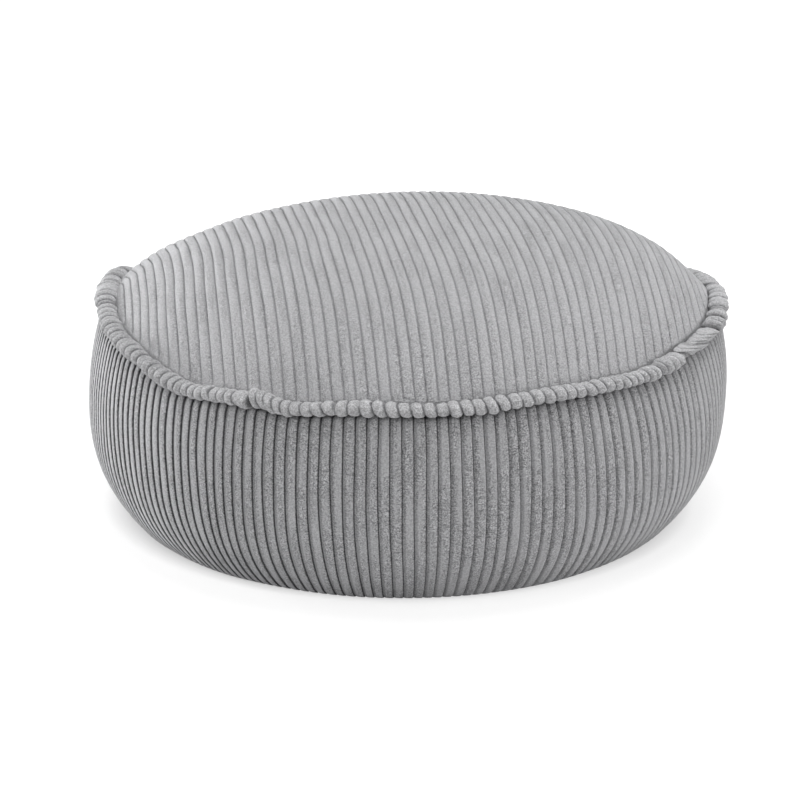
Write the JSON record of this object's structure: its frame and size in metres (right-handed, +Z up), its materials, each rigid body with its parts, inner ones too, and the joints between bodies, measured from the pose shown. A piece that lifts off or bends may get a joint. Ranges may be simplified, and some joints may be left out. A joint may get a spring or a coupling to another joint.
{
  "type": "round floor cushion",
  "caption": "Round floor cushion with a crowned top, a bellied side band and a fat beaded welt round its top edge.",
  "frame": {"origin": "on the floor, under the middle of the cushion", "axes": "+Z up, -Y towards the side where the ends of the piping meet"},
  "size_m": [0.5987, 0.5999, 0.2644],
  "materials": {
    "corduroy": "grey wide-wale corduroy, matt with a soft nap",
    "piping_corduroy": "the same corduroy wrapped across its wales round a fat cord"
  },
  "bodies": {
    "root": {"cushion": "corduroy", "piping": "piping_corduroy"}
  },
  "joints": []
}
